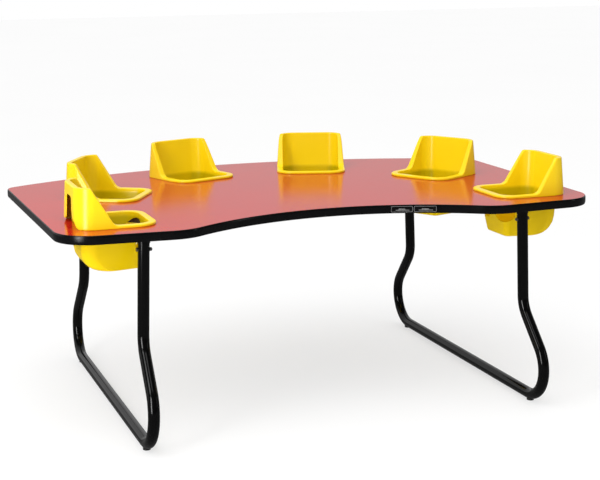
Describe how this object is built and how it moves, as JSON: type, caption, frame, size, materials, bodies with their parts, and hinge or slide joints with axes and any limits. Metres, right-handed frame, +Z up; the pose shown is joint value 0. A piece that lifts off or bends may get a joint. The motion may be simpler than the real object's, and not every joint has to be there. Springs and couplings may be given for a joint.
{
  "type": "feeding table with moulded bucket seats",
  "caption": "Low kidney-shaped laminate table with moulded toddler bucket seats set into its top, on two bent-tube sled leg frames.",
  "frame": {"origin": "on the floor, under the middle of the whole object's bounding box", "axes": "+X along the table, +Y from the concave front to the curved back, +Z up"},
  "size_m": [1.814, 1.3069, 0.7965],
  "materials": {
    "seat_plastic": "smooth moulded, glossy",
    "top_laminate": "plain laminate, semi-gloss",
    "core_wood": "pressed wood board",
    "backer_sheet": "plain backer sheet, matt",
    "band_plastic": "extruded edge band, satin",
    "label_film": "blank plate with a light outline",
    "leg_paint": "gloss powder coat",
    "fastener_steel": "zinc-plated",
    "screw_steel": "zinc-plated",
    "glide_plastic": "moulded, matt"
  },
  "bodies": {
    "root": {"seat_left_side": "seat_plastic", "seat_left_corner": "seat_plastic", "seat_left_back": "seat_plastic", "seat_right_side": "seat_plastic", "seat_right_corner": "seat_plastic", "seat_right_back": "seat_plastic", "seat_screws_left_side": "screw_steel", "seat_screws_left_corner": "screw_steel", "seat_screws_left_back": "screw_steel", "seat_screws_right_side": "screw_steel", "seat_screws_right_corner": "screw_steel", "seat_screws_right_back": "screw_steel", "table_core": "core_wood", "laminate_top": "top_laminate", "laminate_backer": "backer_sheet", "edge_band": "band_plastic", "label_plate_inner": "label_film", "label_plate_outer": "label_film", "leg_frame_left": "leg_paint", "leg_frame_right": "leg_paint", "leg_socket_left_front": "leg_paint", "leg_socket_left_back": "leg_paint", "leg_socket_right_front": "leg_paint", "leg_socket_right_back": "leg_paint", "socket_screws_left_front": "screw_steel", "socket_screws_left_back": "screw_steel", "socket_screws_right_front": "screw_steel", "socket_screws_right_back": "screw_steel", "leg_bolts": "fastener_steel", "leg_nuts": "fastener_steel", "leg_washers": "fastener_steel", "glide_left_front": "glide_plastic", "glide_left_back": "glide_plastic", "glide_right_front": "glide_plastic", "glide_right_back": "glide_plastic"}
  },
  "joints": []
}
